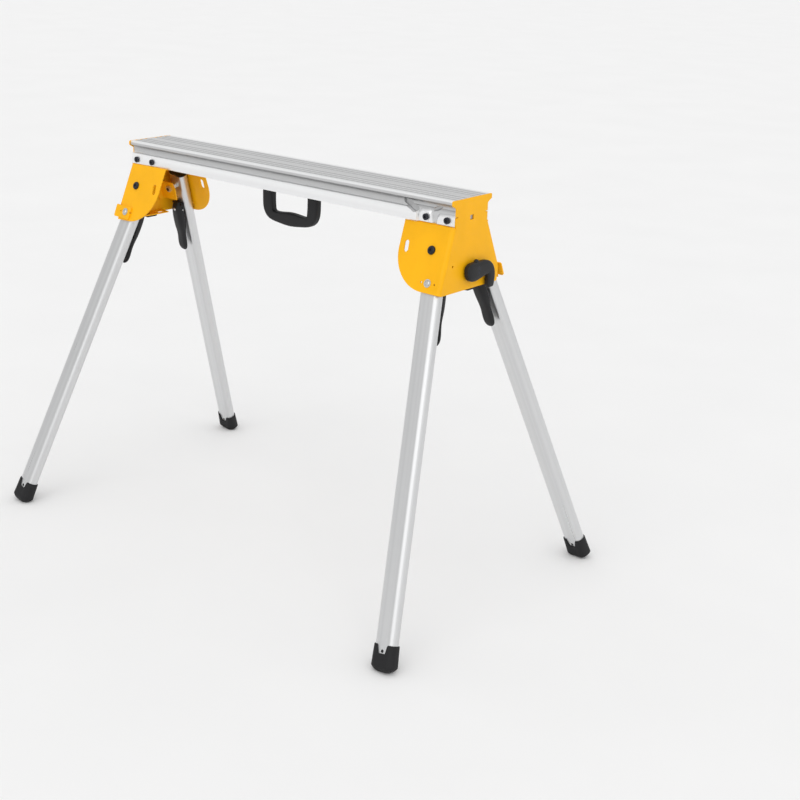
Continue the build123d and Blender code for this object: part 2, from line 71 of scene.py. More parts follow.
# ---------------------------------------------------------------- node trees
class Finish:
    """A material's node tree under construction, with short calls for the nodes it needs."""

    def __init__(self, name, color, roughness, metallic=0.0, source=None):
        self.material = bpy.data.materials.new(name)
        self.material.use_nodes = True
        self.tree = self.material.node_tree
        self.shader = self.tree.nodes["Principled BSDF"]
        self.shader.inputs["Base Color"].default_value = (*color, 1.0)
        self.shader.inputs["Roughness"].default_value = roughness
        self.shader.inputs["Metallic"].default_value = metallic
        if source:
            self.place = self.node("ShaderNodeAttribute", attribute_name=source).outputs["Vector"]
        else:
            self.place = self.node("ShaderNodeTexCoord").outputs["Object"]

    def node(self, kind, **settings):
        made = self.tree.nodes.new(kind)
        for key, value in settings.items():
            setattr(made, key, value)
        return made

    def link(self, source, target):
        self.tree.links.new(source, target)

    def mapped(self, scale, rotation=(0.0, 0.0, 0.0)):
        """Coordinates turned by rotation and then stretched by scale."""
        turned = self.node("ShaderNodeMapping")
        turned.inputs["Rotation"].default_value = rotation
        self.link(self.place, turned.inputs["Vector"])
        stretched = self.node("ShaderNodeMapping")
        stretched.inputs["Scale"].default_value = scale
        self.link(turned.outputs["Vector"], stretched.inputs["Vector"])
        return stretched.outputs["Vector"]

    def noise(self, vector, scale, detail=3.0, roughness=0.5):
        made = self.node("ShaderNodeTexNoise")
        made.inputs["Scale"].default_value = scale
        made.inputs["Detail"].default_value = detail
        made.inputs["Roughness"].default_value = roughness
        self.link(vector, made.inputs["Vector"])
        return made.outputs["Fac"]

    def cells(self, vector, scale):
        made = self.node("ShaderNodeTexVoronoi")
        made.inputs["Scale"].default_value = scale
        self.link(vector, made.inputs["Vector"])
        return made.outputs["Distance"]

    def span(self, value, low, high, to_low, to_high):
        """Value from low..high carried to to_low..to_high and held at the ends."""
        made = self.node("ShaderNodeMapRange")
        for index, number in enumerate((low, high, to_low, to_high), start=1):
            made.inputs[index].default_value = number
        self.link(value, made.inputs[0])
        return made.outputs[0]

    def arithmetic(self, operation, first, second):
        made = self.node("ShaderNodeMath", operation=operation)
        for socket, value in zip(made.inputs, (first, second)):
            if isinstance(value, (int, float)):
                socket.default_value = value
            else:
                self.link(value, socket)
        return made.outputs[0]

    def weighed(self, first, share, second):
        """A share of the first value and the rest of the second."""
        first = self.arithmetic("MULTIPLY", first, share)
        second = self.arithmetic("MULTIPLY", second, 1.0 - share)
        return self.arithmetic("ADD", first, second)

    def tint(self, factor, low, high):
        """Base colour that goes from low to high with the factor."""
        made = self.node("ShaderNodeMix", data_type="RGBA")
        made.inputs["A"].default_value = (*low, 1.0)
        made.inputs["B"].default_value = (*high, 1.0)
        self.link(factor, made.inputs["Factor"])
        self.link(made.outputs["Result"], self.shader.inputs["Base Color"])
        return made.outputs["Result"]

    def shaded(self, color, factor):
        """Base colour multiplied by a factor from 0 to 1."""
        made = self.node("ShaderNodeMix", data_type="RGBA", blend_type="MULTIPLY")
        made.inputs["Factor"].default_value = 1.0
        self.link(color, made.inputs["A"])
        self.link(factor, made.inputs["B"])
        self.link(made.outputs["Result"], self.shader.inputs["Base Color"])

    def parts(self):
        """The place's x, y and z."""
        made = self.node("ShaderNodeSeparateXYZ")
        self.link(self.place, made.inputs[0])
        return made.outputs[0], made.outputs[1], made.outputs[2]

    def steps(self, value, stops):
        """Grey that follows value through (value, grey) stops."""
        made = self.node("ShaderNodeValToRGB")
        low, high = stops[0][0], stops[-1][0]
        self.link(self.span(value, low, high, 0.0, 1.0), made.inputs[0])
        set_greys(made.color_ramp, [((at - low) / (high - low), grey) for at, grey in stops])
        return made.outputs[0]

    def rough(self, value):
        self.link(value, self.shader.inputs["Roughness"])

    def bump(self, height, distance, strength=1.0):
        made = self.node("ShaderNodeBump")
        made.inputs["Distance"].default_value = distance
        made.inputs["Strength"].default_value = strength
        self.link(height, made.inputs["Height"])
        self.link(made.outputs["Normal"], self.shader.inputs["Normal"])


def set_greys(ramp, stops):
    """Give a colour ramp its (position, grey) stops."""
    while len(ramp.elements) < len(stops):
        ramp.elements.new(0.5)
    for element, (position, grey) in zip(ramp.elements, stops):
        element.position = position
        element.color = (grey, grey, grey, 1.0)


def scaled(color, factor):
    """Colour made lighter or darker by a factor, held at white."""
    return tuple(min(1.0, channel * factor) for channel in color)


def powder_coat(name, color, source=None):
    """Semi-gloss powder coat: fine orange-peel grain, faint mottling and a slightly uneven gloss."""
    made = Finish(name, color, 0.38, 0.0, source)
    made.shader.inputs["Specular IOR Level"].default_value = 0.2
    mottle = made.noise(made.place, 14.0, 4.0)
    made.tint(made.span(mottle, 0.3, 0.7, 0.0, 1.0), scaled(color, 0.94), scaled(color, 1.05))
    made.rough(made.span(made.noise(made.place, 60.0, 5.0), 0.3, 0.7, 0.33, 0.46))
    made.bump(made.noise(made.place, 900.0, 2.0), 0.00025, 0.35)
    return made.material


def extruded(name, color, along, streak=170.0, roughness=0.34, source=None, painted_shade=None):
    """Satin extruded aluminium: fine die lines along the part, broad faint bands and a few dull patches.

    along is the Euler turn that brings the part's length onto the texture's x axis; the last argument gives
    the painted shade factor that darkens the section's hollows, where shade falls.
    """
    made = Finish(name, color, roughness, 0.92, source)
    lines = made.mapped((0.6, streak, streak), along)
    fine = made.noise(lines, 1.0, 1.2, 0.5)
    broad = made.noise(made.mapped((0.25, 60.0, 60.0), along), 1.0, 2.0)
    cloud = made.noise(made.place, 5.0, 3.0)
    shade = made.weighed(fine, 0.5, broad)
    tone = made.tint(made.span(shade, 0.3, 0.7, 0.0, 1.0), scaled(color, 0.92), scaled(color, 1.05))
    # Painted shade: the base colour is multiplied darker by the given factor in the section's hollows.
    if painted_shade:
        made.shaded(tone, painted_shade(made))
    patch = made.weighed(fine, 0.6, cloud)
    made.rough(made.span(patch, 0.3, 0.7, roughness - 0.07, roughness + 0.1))
    made.bump(fine, 0.0002, 0.03)
    return made.material


def beam_painted_shade(made):
    """Painted shade: a darker tone on the beam's flat top, darker still in its top grooves, its milled
    pockets and the cove between its nose and side band, where shade falls.

    The painted shade factor follows the depth below the top; outside the sides' inner plane it also follows
    the reach from the middle, so that what is milled inwards is painted darker.
    """
    _, y, z = made.parts()
    drop = made.arithmetic("SUBTRACT", BEAM_TOP, z)
    # Painted shade: the flat top darker than the side band, the groove floors darker still.
    top_and_groove_shade = made.steps(drop, ((0.0, 0.78), (0.0002, 0.78), (0.0008, 0.48), (0.002, 0.48)))
    # Painted shade down the side: darkest under the nose and in the cove, back to full tone on the band.
    side = made.steps(drop, (
        (0.0, 1.0), (0.0026, 1.0), (0.0042, 0.68), (0.0072, 0.62), (0.0095, 0.44),
        (0.0130, 0.46), (0.0180, 0.64), (0.0235, 0.76), (0.0262, 0.94), (0.0300, 1.0),
    ))
    reach = made.arithmetic("ABSOLUTE", y, 0.0)
    # Painted shade that deepens inwards, where the pockets are milled.
    side = made.arithmetic("MULTIPLY", side, made.span(reach, 0.0455, 0.0498, 0.62, 1.0))
    outer = made.span(reach, 0.0453, 0.0460, 0.0, 1.0)
    painted_shade_factor = made.node("ShaderNodeMix", data_type="RGBA")
    made.link(outer, painted_shade_factor.inputs["Factor"])
    made.link(top_and_groove_shade, painted_shade_factor.inputs["A"])
    made.link(side, painted_shade_factor.inputs["B"])
    return painted_shade_factor.outputs["Result"]


def moulded(name, color, grain=1400.0, roughness=0.46, source=None):
    """Moulded plastic: fine spark-eroded grain, faint flow marks and a slight dusty lift."""
    made = Finish(name, color, roughness, 0.0, source)
    made.shader.inputs["Specular IOR Level"].default_value = 0.32
    flow = made.noise(made.mapped((30.0, 30.0, 8.0)), 1.0, 4.0)
    made.tint(made.span(flow, 0.3, 0.7, 0.0, 1.0), scaled(color, 0.8), scaled(color, 1.35))
    made.rough(made.span(flow, 0.3, 0.7, roughness - 0.06, roughness + 0.1))
    made.bump(made.cells(made.place, grain), 0.0002, 0.4)
    return made.material


def plated(name, color, source=None):
    """Zinc-plated steel: small crystal facets in brightness and gloss."""
    made = Finish(name, color, 0.28, 0.95, source)
    facets = made.cells(made.place, 700.0)
    made.tint(made.span(facets, 0.0, 0.8, 0.0, 1.0), scaled(color, 0.85), scaled(color, 1.1))
    made.rough(made.span(facets, 0.0, 0.8, 0.2, 0.42))
    made.bump(made.noise(made.place, 1200.0, 2.0), 0.0001, 0.3)
    return made.material


def blackened(name, color):
    """Black-oxide steel: dark, low gloss, with faint rubbed patches."""
    made = Finish(name, color, 0.34, 0.6)
    rubbed = made.noise(made.place, 260.0, 4.0)
    made.tint(made.span(rubbed, 0.35, 0.75, 0.0, 1.0), color, scaled(color, 2.2))
    made.rough(made.span(rubbed, 0.3, 0.7, 0.28, 0.46))
    made.bump(rubbed, 0.0001, 0.3)
    return made.material


# ---------------------------------------------------------------- leg and plate frames
def unit(vector):
    return vector / np.linalg.norm(vector)


def leg_axes(leg):
    """Pivot point and unit axes of a leg: x across its width, y up the leg, z outwards."""
    pivot = np.array(JOINTS["leg_fold_" + leg]["pos_m"])
    across = unit(np.array(JOINTS["lever_pull_" + leg]["axis"], float))
    outwards = -unit(np.array(JOINTS["pin_slide_" + leg]["axis"], float))
    across = across * np.sign(np.cross(outwards, across)[2])
    return pivot, np.stack([across, np.cross(outwards, across), outwards])


# ---------------------------------------------------------------- mesh helpers
def grid_quads(rows, columns, closed=False):
    """Quads of a rows-by-columns grid numbered row by row; closed joins the last column to the first."""
    row = np.arange(rows - 1)[:, None]
    column = np.arange(columns if closed else columns - 1)[None, :]
    beside = (column + 1) % columns
    here, above = row * columns, (row + 1) * columns
    return np.stack([here + column, here + beside, above + beside, above + column], axis=-1).reshape(-1, 4)


def capped_loft(rings):
    """Closed shell through rings of equal length, given as rows x ring x 3, with a flat cap at each end."""
    rows, around = rings.shape[:2]
    faces = grid_quads(rows, around, closed=True).tolist()
    faces.append(list(range(around))[::-1])
    faces.append(list(range((rows - 1) * around, rows * around)))
    return rings.reshape(-1, 3), faces


def slab(outline, low, high):
    """Closed prism: an outline in local x and y carried along local z from low to high."""
    outline = np.asarray(outline, float)
    rings = np.stack([np.column_stack([outline, np.full(len(outline), z)]) for z in (low, high)])
    return capped_loft(rings)


def disc(center, radius, low, high, sides=32):
    """Closed round bar along local z, its ring a circle of the given radius."""
    angle = np.linspace(0, 2 * np.pi, sides, endpoint=False)
    ring = np.column_stack([center[0] + radius * np.cos(angle), center[1] + radius * np.sin(angle)])
    return slab(ring, low, high)


def stadium(center, length, width, turn, sides=12):
    """Outline of a slot with round ends: two half circles, the long axis turned from local x."""
    radius = width / 2
    half = np.linspace(-np.pi / 2, np.pi / 2, sides)
    right = np.column_stack([length / 2 - radius + radius * np.cos(half), radius * np.sin(half)])
    ring = np.concatenate([right, -right])
    cosine, sine = math.cos(turn), math.sin(turn)
    return ring @ np.array([[cosine, sine], [-sine, cosine]]) + np.asarray(center)


def rounded_rectangle(width, depth, radius, corner, flat):
    """Ring of a rectangle, counter-clockwise, with corner points per corner and flat points per side."""
    ring = []
    for quarter, (x, y) in enumerate(((1, 1), (-1, 1), (-1, -1), (1, -1))):
        angle = np.linspace(0, np.pi / 2, corner) + quarter * np.pi / 2
        center = np.array([x * (width / 2 - radius), y * (depth / 2 - radius)])
        ring.append(center + radius * np.column_stack([np.cos(angle), np.sin(angle)]))
    sides = []
    for here, there in zip(ring, ring[1:] + ring[:1]):
        sides.append(here)
        share = np.linspace(0, 1, flat + 2)[1:-1, None]
        sides.append(here[-1] + (there[0] - here[-1]) * share)
    return np.concatenate(sides)


def power_curve(angle, power):
    """Cosine and sine of an angle with their sizes raised to a power: 1 is a circle, under 1 is squarer."""
    cosine, sine = np.cos(angle), np.sin(angle)
    return np.sign(cosine) * np.abs(cosine) ** power, np.sign(sine) * np.abs(sine) ** power


def smooth_step(value):
    """Value held to 0..1 and eased as three squares less two cubes."""
    held = np.clip(value, 0, 1)
    return held * held * (3 - 2 * held)


def directions(line):
    """Unit direction of a flat line at each of its points, from the differences of its neighbours."""
    along = np.gradient(line, axis=0)
    return along / np.linalg.norm(along, axis=1)[:, None]


def left_of(direction):
    """Each flat direction turned a quarter turn to the left."""
    return np.column_stack([-direction[:, 1], direction[:, 0]])


def place(points, origin, axes):
    """Local points carried to the frame: origin plus each coordinate times its axis."""
    return np.asarray(origin) + np.asarray(points) @ np.asarray(axes)


def placed(shells, origin, axes):
    """Every shell of a list carried to the frame."""
    return [(place(points, origin, axes), faces) for points, faces in shells]


def half_turned(points):
    """Points turned half a turn about the frame's vertical axis."""
    return points * np.array([-1.0, -1.0, 1.0])


def joined(*shells):
    """One list of points and faces from several."""
    points, faces, start = [], [], 0
    for shell_points, shell_faces in shells:
        points.append(shell_points)
        faces += [[index + start for index in face] for face in shell_faces]
        start += len(shell_points)
    return np.concatenate(points), faces


def new_object(name, points, faces):
    """Object at the origin whose mesh holds the points and faces."""
    mesh = bpy.data.meshes.new(name)
    mesh.from_pydata(np.asarray(points, float).tolist(), [], [list(face) for face in faces])
    mesh.update()
    made = bpy.data.objects.new(name, mesh)
    bpy.context.scene.collection.objects.link(made)
    return made


def modify(made, kind, **settings):
    """Run the object through one modifier and keep the result as its mesh."""
    modifier = made.modifiers.new(kind.lower(), kind)
    for key, value in settings.items():
        setattr(modifier, key, value)
    graph = bpy.context.evaluated_depsgraph_get()
    mesh = bpy.data.meshes.new_from_object(made.evaluated_get(graph))
    made.modifiers.clear()
    made.data = mesh


def cut(made, *cutters):
    """Subtract closed shells from the object, all in one exact boolean."""
    tool = new_object("cutter", *joined(*cutters))
    face_outwards(tool)
    modify(made, "BOOLEAN", operation="DIFFERENCE", solver="EXACT", use_self=True, object=tool)
    bpy.data.objects.remove(tool)


def bevel(made, width):
    """Round every edge that turns by more than 40 degrees."""
    turn = math.radians(40.0)
    modify(made, "BEVEL", width=width, segments=2, limit_method="ANGLE", angle_limit=turn)


def subdivide(made):
    """One level of smooth subdivision."""
    modify(made, "SUBSURF", levels=1, render_levels=1)


def face_away_from(made, inside):
    """Turn an open sheet's faces away from a point on its inner side."""
    work = bmesh.new()
    work.from_mesh(made.data)
    bmesh.ops.remove_doubles(work, verts=work.verts, dist=2e-6)
    bmesh.ops.recalc_face_normals(work, faces=work.faces)
    total = sum((face.calc_center_median() - Vector(inside)).dot(face.normal) for face in work.faces)
    if total < 0:
        bmesh.ops.reverse_faces(work, faces=work.faces)
    work.to_mesh(made.data)
    work.free()


def merge_shells(made, *shells):
    """Add closed shells to the object's mesh."""
    mesh = made.data
    points = np.array([vertex.co for vertex in mesh.vertices])
    faces = [list(face.vertices) for face in mesh.polygons]
    new_points, new_faces = joined((points, faces), *shells)
    fresh = bpy.data.meshes.new(mesh.name)
    fresh.from_pydata(new_points.tolist(), [], new_faces)
    fresh.update()
    made.data = fresh


def turn_mesh(made):
    """Half turn about the frame's vertical axis, in the mesh itself."""
    made.data.transform(Matrix.Rotation(math.pi, 4, "Z"))


def face_outwards(made):
    """Merge doubles and point every closed shell's faces outwards."""
    work = bmesh.new()
    work.from_mesh(made.data)
    bmesh.ops.remove_doubles(work, verts=work.verts, dist=1e-6)
    bmesh.ops.recalc_face_normals(work, faces=work.faces)
    work.to_mesh(made.data)
    work.free()


def complete(made, body, material, origin, axes, replaces=(), sharp=32.0):
    """Shade the piece, store its own coordinates for its finish, and hand it to the frame."""
    if not made.data.polygons:
        raise RuntimeError(made.name + " has no faces")
    made.data.shade_smooth()
    made.data.set_sharp_from_angle(angle=math.radians(sharp))
    modify(made, "WEIGHTED_NORMAL", keep_sharp=True)
    mesh = made.data
    points = np.empty(len(mesh.vertices) * 3, np.float32)
    mesh.vertices.foreach_get("co", points)
    own = (points.reshape(-1, 3) - np.asarray(origin)) @ np.asarray(axes).T
    stored = mesh.attributes.new(OWN, "FLOAT_VECTOR", "POINT")
    stored.data.foreach_set("vector", own.astype(np.float32).ravel())
    if not mesh.materials:
        mesh.materials.append(material)
    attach(made, body)
    if replaces:
        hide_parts(*replaces)


# ---------------------------------------------------------------- end brackets
END_TILT = math.radians(3.3)
SIDE_LEAN = math.radians(21.3)
TOE = math.radians(3.2)
SHEET = 0.0025
CORNER_Y = 0.055
PLATE_DROP = 0.1278
FLANGE_DROP = 0.121
PIVOT_U, PIVOT_D, PLATE_RADIUS = 0.037, 0.0478, 0.080
LOCK_U, LOCK_D = 0.0259, 0.1093


def end_axes():
    """Right end plate's axes: x along the row's +Y, y up the plate, z out of it."""
    outwards = np.array([math.cos(END_TILT), 0.0, math.sin(END_TILT)])
    across = np.array([0.0, 1.0, 0.0])
    return np.array([CORNER_X, 0.0, UNDER_BEAM]), np.stack([across, np.cross(outwards, across), outwards])


def side_axes(side):
    """Right bracket's side plate, -1 front or 1 rear: its top corner, then inboard, down and outward axes."""
    toe = -side * TOE
    lean_out = np.array([0.0, side * math.cos(SIDE_LEAN), math.sin(SIDE_LEAN)])
    down = np.array([0.0, side * math.sin(SIDE_LEAN), -math.cos(SIDE_LEAN)])
    inboard = -np.array([1.0, 0.0, 0.0]) * math.cos(toe) - lean_out * math.sin(toe)
    outward = lean_out * math.cos(toe) - np.array([1.0, 0.0, 0.0]) * math.sin(toe)
    return np.array([CORNER_X, side * CORNER_Y, UNDER_BEAM]), np.stack([inboard, down, outward])


def bend_row(share, side, radius):
    """At each share of a corner's length: its point, the bend's two tangent points and its weight."""
    origin, (inboard, down, outward) = side_axes(side)
    end_out = end_axes()[1][2]
    along = unit(np.cross(outward, end_out))
    along = along * np.sign(along @ down)
    corner = origin + along * (PLATE_DROP * share / (along @ down))[:, None]
    across_side = unit(np.cross(along, outward))
    across_side = across_side * np.sign(across_side @ inboard)
    across_end = unit(np.cross(along, end_out))
    across_end = across_end * -np.sign(across_end[1] * side)
    half = math.acos(float(np.clip(outward @ end_out, -1, 1))) / 2
    reach = radius * math.tan(half)
    return corner, corner + across_side * reach, corner + across_end * reach, math.cos(half)


def side_outline(side, tangents):
    """Outer face of a side plate, from its tapered inboard edge round the lower circle to the bend.

    The circle's points are the pivot plus the plate radius times sine and cosine of an angle.
    """
    origin, (inboard, down, _) = side_axes(side)
    angle = np.radians(np.linspace(90, 0, 33))
    u = np.concatenate([[PIVOT_U + PLATE_RADIUS + 0.0025], PIVOT_U + PLATE_RADIUS * np.sin(angle)])
    d = np.concatenate([[0.0], PIVOT_D + PLATE_RADIUS * np.cos(angle)])
    return np.concatenate([origin + u[:, None] * inboard + d[:, None] * down, tangents[::-1]])


def cap_outline():
    """Half width and height of the cap over the beam's end: neck, smooth step out to the lips, round tips."""
    neck, step = [1.2, 4, 12, 32], np.arange(33.5, 47.1, 1.5)
    height = np.concatenate([neck, step, [48.0, 48.8, 49.4, 49.8, 50]]) * MM
    top = np.clip((height - 0.0468) / 0.0033, 0, 1)
    half = 0.0490 + 0.0118 * smooth_step((height - 0.0335) / 0.0085) - 0.0030 * (1 - np.sqrt(1 - top**2))
    return half, height


def folded_sheet(radius):
    """Outer surface of the bent sheet: front plate, bend, end plate with its cap, bend, rear plate.

    Every part is flat or ruled. The bends are circular arcs, written as rational quadratic curves between
    their two tangent points, each strip one quad from the top edge to the bottom edge.
    """
    shells, ends = [], []
    for side in (-1, 1):
        corner, on_side, on_end, weight = bend_row(np.array([0.0, 1.0]), side, radius)
        outline = side_outline(side, on_side)
        shells.append((outline, [list(range(len(outline)))]))
        t = np.linspace(0, 1, 10)[:, None, None]
        low, middle, high = (1 - t) ** 2, 2 * weight * t * (1 - t), t**2
        strips = (low * on_side + middle * corner + high * on_end) / (low + middle + high)
        shells.append((strips.reshape(-1, 3), grid_quads(10, 2).tolist()))
        ends.append(on_end)
    front, rear = ends
    shells.append((np.array([front[0], front[1], rear[1], rear[0]]), [[0, 1, 2, 3]]))
    half, height = cap_outline()
    rising = np.column_stack([np.full(len(half), CORNER_X), -half, UNDER_BEAM + height])
    cap = np.concatenate([[front[0]], rising, (rising * np.array([1, -1, 1]))[::-1], [rear[0]]])
    shells.append((cap, [list(range(len(cap)))]))
    return joined(*shells)


def bracket_cutters():
    """Closed shells that cut the right bracket's holes.

    Each side plate has a fold-lock slot, two rivet holes and the bores for bush and bolt. The end plate has
    a small and a large round hole, a square one, two relief slits and a trimmed corner.
    """
    shells = []
    for side in (-1, 1):
        origin, (inboard, down, outward) = side_axes(side)
        axes = np.stack([inboard, down, outward])
        slot = stadium((PIVOT_U + 0.0625, PIVOT_D + 0.001), 0.023, 0.010, math.radians(90 - side * 8))
        holes = [slab(slot, -0.008, 0.006)]
        holes += [disc((LOCK_U + offset, LOCK_D), 0.0018, -0.008, 0.006, 20) for offset in (-0.016, 0.016)]
        holes.append(disc((LOCK_U, LOCK_D), 0.0058, -0.008, 0.006))
        holes.append(disc((PIVOT_U, PIVOT_D), 0.0040, -0.008, 0.006))
        shells += placed(holes, origin, axes)
    origin, axes = end_axes()
    corner = [(0.0890, -0.0855), (0.0795, -0.1300), (0.1300, -0.1300), (0.1300, -0.0855)]
    low = [disc((-0.058, -0.072), 0.0022, -0.010, 0.006, 20), disc((0.002, -0.087), 0.0040, -0.010, 0.006)]
    low.append(slab(corner, -0.0095, 0.010))
    shells += placed(low, origin, axes)
    upright = np.stack([axes[0], np.array([0.0, 0.0, 1.0]), np.array([1.0, 0.0, 0.0])])
    square = [(-0.0050, 0.0083), (0.0060, 0.0083), (0.0060, 0.0172), (-0.0050, 0.0172)]
    high = [slab(square, -0.010, 0.006)]
    for side in (-1, 1):
        high.append(slab(stadium((side * 0.0475, 0.0178), 0.0100, 0.0016, 0.0, 8), -0.010, 0.006))
    return shells + placed(high, origin, upright)


def bracket_inside():
    """Web under the beam with an upright tab along each side."""
    near, far, tab_top = CORNER_X - 0.001, CORNER_X - 0.112, 0.785
    web = [(near, 0.0535), (far, 0.0590), (far, -0.0470), (near, -0.0535)]
    shells = [slab(web, UNDER_BEAM - SHEET, UNDER_BEAM - 0.0001)]
    for side in (-1, 1):
        tab = np.array([(-0.088, -SHEET / 2), (-0.006, -SHEET / 2), (-0.006, SHEET / 2), (-0.088, SHEET / 2)])
        shells.append(slab(tab + np.array([CORNER_X, side * 0.0427]), UNDER_BEAM - 0.001, tab_top))
    return shells


def lower_flange():
    """Flange turned in along the end plate's lower edge: five bars that leave two windows."""
    bars = [(-36, 36, -24, -19), (-36, 36, -9, -0.5)]
    bars += [(x0, x1, -20, -8) for x0, x1 in ((-36, -28), (-10, 10), (28, 36))]
    shells = []
    origin, axes = end_axes()
    turned = np.stack([axes[0], axes[2], -axes[1]])
    for x0, x1, z0, z1 in bars:
        bar = np.array([(x0, z0), (x1, z0), (x1, z1), (x0, z1)]) * MM
        shells.append(slab(bar, FLANGE_DROP - SHEET, FLANGE_DROP))
    return placed(shells, origin, turned)


# ---------------------------------------------------------------- settings
def color_setting(name, description, default):
    return FloatVectorProperty(
        name=name, description=description, default=default, subtype="COLOR", size=3, min=0, max=1,
    )


def length_setting(name, description, default, least, most):
    return FloatProperty(
        name=name, description=description, default=default, unit="LENGTH", min=least, max=most,
    )


class SawhorseFinishes(bpy.types.PropertyGroup):
    """Colours of the sawhorse's surfaces, as linear values."""

    coat: color_setting("Bracket coat", "Powder coat on the end brackets", (0.95, 0.465, 0.004))
    beam: color_setting("Beam", "Extruded aluminium of the beam", (0.93, 0.935, 0.94))
    leg: color_setting("Legs", "Satin aluminium of the leg tubes", (0.70, 0.705, 0.71))
    plastic: color_setting("Plastic", "Black moulded levers, hooks, handle and plugs", (0.010, 0.010, 0.011))
    rubber: color_setting("Rubber", "Feet and bumpers", (0.009, 0.009, 0.010))
    steel: color_setting("Plated steel", "Zinc-plated pins, nuts, bushes and rivets", (0.68, 0.68, 0.67))
    oxide: color_setting("Black steel", "Black-oxide bolts", (0.018, 0.019, 0.024))


class SawhorseSizes(bpy.types.PropertyGroup):
    """Sizes of the finished surfaces that the design frame leaves open."""

    bend_radius: length_setting("Bend radius", "Outer radius of the brackets' bends", 0.008, 0.004, 0.014)
    sheet_edge: length_setting(
        "Sheet edge", "Width of the small round on the brackets' cut edges", 0.0004, 0.0001, 0.001,
    )
    foot_wall: length_setting("Foot wall", "Thickness of a foot's wall at its rim", 0.0024, 0.001, 0.004)
    foot_flare: length_setting(
        "Foot flare", "Thickness of a foot's wall near the floor", 0.0038, 0.001, 0.006,
    )
    grip_swell: length_setting("Grip swell", "How far the handle's grip swells each way", 0.0035, 0.0, 0.006)


class SawhorseStage(bpy.types.PropertyGroup):
    """Camera, floor and light."""

    azimuth: FloatProperty(
        name="Azimuth", description="Camera's bearing round the beam", subtype="ANGLE",
        default=math.radians(40.36),
    )
    elevation: FloatProperty(
        name="Elevation", description="Camera's height angle", subtype="ANGLE",
        default=math.radians(19.33),
    )
    roll: FloatProperty(
        name="Roll", description="Camera's turn about its line of sight", subtype="ANGLE",
        default=math.radians(1.53),
    )
    position: FloatVectorProperty(
        name="Position", description="Camera's place", subtype="TRANSLATION", unit="LENGTH",
        size=3, default=(1.9445, -2.0721, 1.3173),
    )
    lens: FloatProperty(
        name="Lens", description="Focal length in millimetres", default=62.52, min=10.0,
    )
    floor_size: FloatProperty(
        name="Floor", description="Width of the floor", unit="LENGTH", default=120.0, min=2.0,
    )
    light: FloatProperty(
        name="Light", description="Brightness of the surrounding light", default=1.0, min=0.0,
    )


# ---------------------------------------------------------------- operators
def paint(node, material):
    """Put a finish in every slot of a frame node."""
    slots = NODES[node].data.materials
    if not slots:
        slots.append(material)
    for index in range(len(slots)):
        slots[index] = material


def nodes_of(*stems):
    """Names of the frame nodes that begin with one of the stems."""
    return [name for name in NODES if any(name.startswith(stem) for stem in stems)]


class SAWHORSE_OT_finishes(bpy.types.Operator):
    """Give every frame node that stays visible its procedural finish"""

    bl_idname = "sawhorse.finishes"
    bl_label = "Finish Frame Nodes"

    def execute(self, context):
        colors = context.scene.sawhorse_finishes
        coat = powder_coat("powder_coat", colors.coat)
        plastic = moulded("moulded_plastic", colors.plastic)
        rubber = moulded("moulded_rubber", colors.rubber, 900.0, 0.62)
        steel = plated("plated_steel", colors.steel)
        oxide = blackened("black_steel", colors.oxide)
        plan = {
            coat: ("doubler", "pivot_ear"),
            plastic: ("lever_mount", "leg_plug"),
            rubber: ("bumpers",),
            steel: ("pivot_nuts", "bracket_nuts", "pivot_spacers", "pivot_sleeve", "lock_pin", "lock_bushes",
                    "cross_pin", "lock_spring", "handle_screws"),
            oxide: ("pivot_bolts", "bracket_bolts", "hook_pins"),
        }
        for material, stems in plan.items():
            if not nodes_of(*stems):
                raise RuntimeError("the frame has no node for " + material.name)
            for name in nodes_of(*stems):
                paint(name, material)
        for leg in LEGS:
            axes = leg_axes(leg)[1]
            turn = Matrix((axes[1], axes[0], -axes[2])).to_euler()
            paint("leg_tube_" + leg, extruded("leg_aluminium_" + leg, colors.leg, turn))
        return {"FINISHED"}


class SAWHORSE_OT_brackets(bpy.types.Operator):
    """Fold the two end brackets from sheet and cut their holes"""

    bl_idname = "sawhorse.brackets"
    bl_label = "End Brackets"

    def execute(self, context):
        sizes = context.scene.sawhorse_sizes
        coat = powder_coat("powder_coat", context.scene.sawhorse_finishes.coat, OWN)
        sheet = folded_sheet(sizes.bend_radius)
        cutters = bracket_cutters()
        extras = bracket_inside() + lower_flange()
        for name, turned in (("right", False), ("left", True)):
            made = new_object("bracket_sheet_" + name, *sheet)
            face_away_from(made, np.array([0.30, 0.0, 0.66]))
            modify(made, "SOLIDIFY", thickness=SHEET, offset=-1, use_even_offset=True)
            cut(made, *cutters)
            bevel(made, sizes.sheet_edge)
            merge_shells(made, *extras)
            if turned:
                turn_mesh(made)
            face_outwards(made)
            complete(made, "frame", coat, (0, 0, 0), UNTURNED, ["bracket_" + name])
        return {"FINISHED"}


# ---------------------------------------------------------------- beam
DIMPLES = ((0.390, 0.0065), (0.390, -0.022), (0.005, 0.022), (-0.300, 0.008))


def arc(center, radius, start, stop, count):
    """Points round a circle or an upright ellipse, from start to stop in degrees."""
    angle = np.radians(np.linspace(start, stop, count))
    across, down = np.broadcast_to(radius, 2)
    return np.column_stack([center[0] + across * np.cos(angle), center[1] + down * np.sin(angle)])


